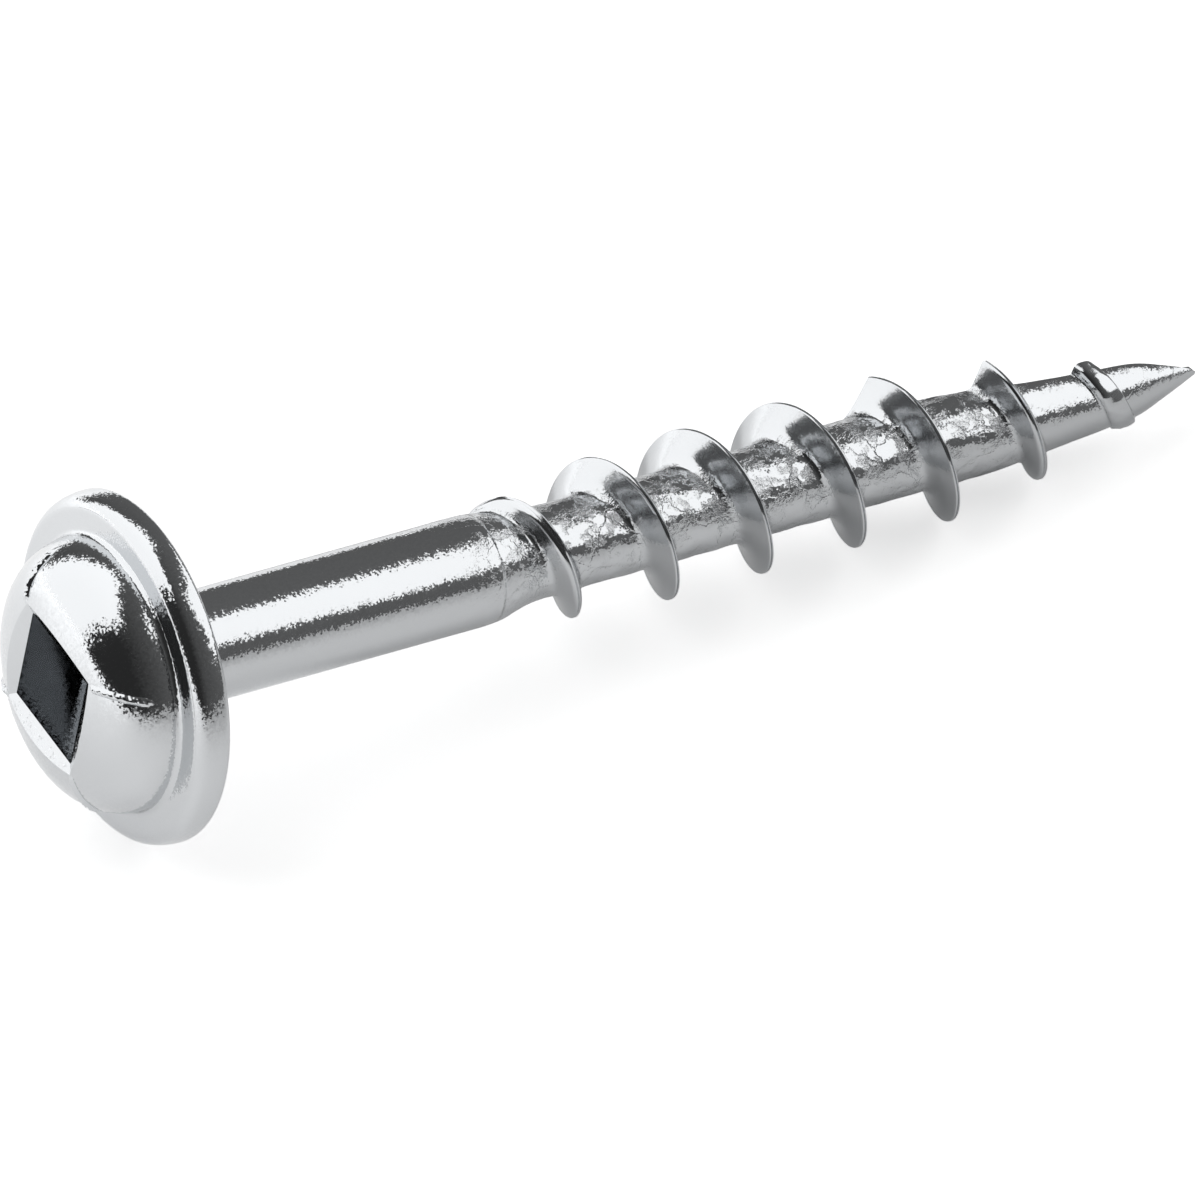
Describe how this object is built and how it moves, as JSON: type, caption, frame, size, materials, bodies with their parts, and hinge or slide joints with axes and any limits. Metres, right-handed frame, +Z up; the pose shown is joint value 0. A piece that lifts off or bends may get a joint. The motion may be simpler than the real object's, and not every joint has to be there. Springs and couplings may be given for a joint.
{
  "type": "pocket hole screw",
  "caption": "Washer-head pocket hole screw with a square recess, plain shank, coarse right-hand wood thread and a fluted self-drilling point.",
  "frame": {"origin": "on the floor under the middle of the bounding box, with the screw lying as it comes to rest on its washer's rim and a thread crest", "axes": "+X from head to point in plan, +Z up; the screw's own axis dips 6.02 degrees below +X towards the point"},
  "size_m": [0.0346, 0.0094, 0.0093],
  "materials": {
    "zinc_plated_steel": "bright zinc plate over cold-formed carbon steel, glossy on the head and shank, crackled in the rolled thread roots"
  },
  "bodies": {
    "root": {"screw": "zinc_plated_steel"}
  },
  "joints": []
}
